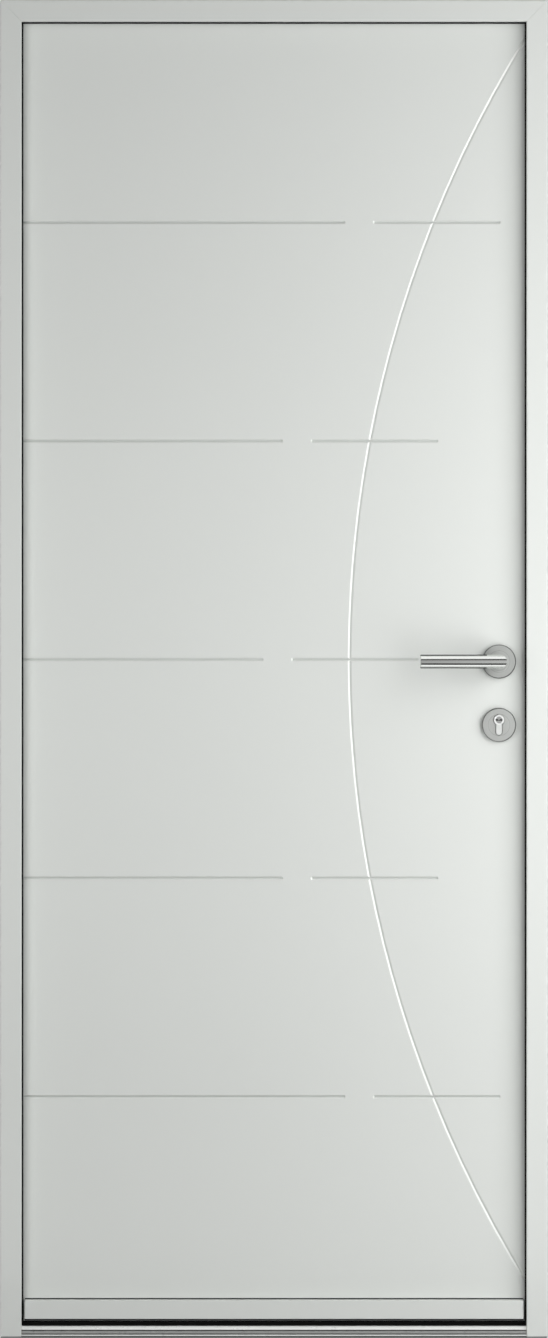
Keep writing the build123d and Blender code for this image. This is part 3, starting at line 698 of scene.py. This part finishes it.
pale_air = 0.62  # level of the air behind the door
floor_glow = pale_air - 0.011
floor_thrown = (0.33, 0.33, 0.33)  # the floor as it lights the door
floor_deep, floor_pale = (0.05, 0.05, 0.05), (0.058, 0.058, 0.058)
floor_corners = [(-16, -18, 0), (16, -18, 0), (16, 14, 0), (-16, 14, 0)]


def flat(name, corners, finish):
    mesh = bpy.data.meshes.new(name)
    mesh.from_pydata([Vector(c) for c in corners], [], [tuple(range(len(corners)))])
    board = placed(name, mesh, finish)


def to_the_eye(finish):
    """One where the camera or a reflection sees the surface, and nought where it throws light on."""
    rays = ("Is Camera Ray", "Is Glossy Ray", "Is Transmission Ray")
    return sum(finish.add("ShaderNodeLightPath", out=ray) for ray in rays).within(0.0, 1.0)


def floor_finish():
    """Pale to the eye, with the door's shadow on it."""
    floor = Finish("pale_studio_floor")
    cloud = floor.speckle(floor.place(), 1.2, 2.0)
    seen = to_the_eye(floor)
    return floor.done(
        base_color=floor.blend(seen, floor_thrown, floor.blend(cloud, floor_deep, floor_pale)),
        roughness=0.9,
        specular_ior_level=0.1,
        emission_color=floor.blend(seen, (0, 0, 0), (floor_glow,) * 3),
        emission_strength=1.0,
    )


flat("studio_floor", floor_corners, floor_finish())


card_span = (-0.64, 1.36)
tip_side, rise_per_metre = 0.26, 6.5  # where a card begins to brighten toward the rose, and how fast


def reflecting_card(name, low, high, reach, strength, span=card_span, tip=1.0):
    """A curved card over a span of elevations as the lever sees it; only gloss shows it. The tip of
    the lever sees it at tip times its strength."""
    card = Finish(name)
    toward_rose = ((card.apart(card.place())[0] - tip_side) * rise_per_metre).within(0.0, 1.0)
    shade = card.blend(toward_rose, (tip, tip, tip), (1, 1, 1))
    glow = card.add("ShaderNodeEmission", None, {"Color": shade, "Strength": strength})
    card.add("ShaderNodeOutputMaterial", None, {"Surface": glow})
    steps = 6
    y, z = grip_out, lever_axis[1]
    shape = bmesh.new()
    rows = []
    for k in range(steps + 1):
        angle = math.radians(low + (high - low) * k / steps)
        depth, up = y - reach * math.cos(angle), z + reach * math.sin(angle)
        rows.append([shape.verts.new((x, depth, up)) for x in span])
    for one, two in zip(rows, rows[1:]):
        shape.faces.new((one[0], one[1], two[1], two[0]))
    mesh = bpy.data.meshes.new(name)
    shape.to_mesh(mesh)
    shape.free()
    board = placed(name, mesh, card.material)
    for seen in ("visible_camera", "visible_diffuse", "visible_shadow", "visible_transmission"):
        setattr(board, seen, False)


# From and to an elevation in degrees, reach in metres, and strength
reflecting_card("overhead_card", 43, 112, 1.3, 1.30)
reflecting_card("upper_flag", 19, 43, 1.3, 0.10)
reflecting_card("front_card", -31, 19, 1.3, 0.68, tip=0.70)
reflecting_card("lower_flag", -58, -31, 1.0, 0.03)
reflecting_card("foot_card", -88, -58, 1.0, 1.30)
grip_span = (lever_low[0] - 0.02, lever_axis[0] - 0.02)
reflecting_card("flag_over_lever", 100, 168, 0.040, 0.06, span=grip_span)
reflecting_card("flag_under_lever", -168, -104, 0.040, 0.02, span=grip_span)


def studio_air(horizon, zenith):
    """Soft light from all round, strongest at the horizon."""
    air = Finish("studio_air", bpy.data.worlds)
    up = air.apart(air.add("ShaderNodeTexCoord", out="Generated"))[2]
    glow = zenith + (horizon - zenith) * (1 - up * up)
    camera = air.add("ShaderNodeLightPath", out="Is Camera Ray")
    strength = glow + camera * (pale_air - glow)
    light = air.add("ShaderNodeBackground", None, {"Color": (1, 1, 1), "Strength": strength})
    air.add("ShaderNodeOutputWorld", None, {"Surface": light})
    return air.material


bpy.context.scene.world = studio_air(0.37, 0.0)


def softbox(name, place, aim, width, height, power):
    lamp = bpy.data.lights.new(name, "AREA")
    lamp.shape = "RECTANGLE"
    lamp.size, lamp.size_y = width, height
    lamp.energy = power
    holder = bpy.data.objects.new(name, lamp)
    holder.location = place
    holder.rotation_euler = (Vector(aim) - Vector(place)).to_track_quat("-Z", "Y").to_euler()
    holder.visible_camera = False
    bpy.context.scene.collection.objects.link(holder)


# Place, aim, width and height in metres, and power in watts
softbox("key_softbox", (1.10, -0.90, 1.16), (0, leaf_low[1], 1.16), 1.20, 2.28, 23.0)
softbox("left_softbox", (-1.20, -1.60, 1.12), (0, leaf_low[1], 1.12), 0.80, 1.90, 12.2)
softbox("room_softbox", (-1.60, 1.90, 1.50), (0, leaf_high[1], 1.00), 1.40, 1.80, 27.0)
softbox("room_fill_softbox", (1.70, 1.70, 1.10), (0, leaf_high[1], 1.00), 0.90, 1.60, 9.0)
softbox("top_softbox", (0, 1.10, 3.00), (0, leaf_high[1], 1.70), 1.80, 0.80, 9.0)

eye = bpy.data.cameras.new("front_camera")
eye.sensor_fit = "VERTICAL"
eye.sensor_height = 36.0
eye.lens = eye.sensor_height * camera_distance / picture_height
tripod = bpy.data.objects.new("front_camera", eye)
tripod.location = (0, frame_face - camera_distance, eye_height)
tripod.rotation_euler = (math.pi / 2, 0, 0)
bpy.context.scene.collection.objects.link(tripod)
bpy.context.scene.camera = tripod
bpy.context.scene.view_settings.view_transform = "Standard"
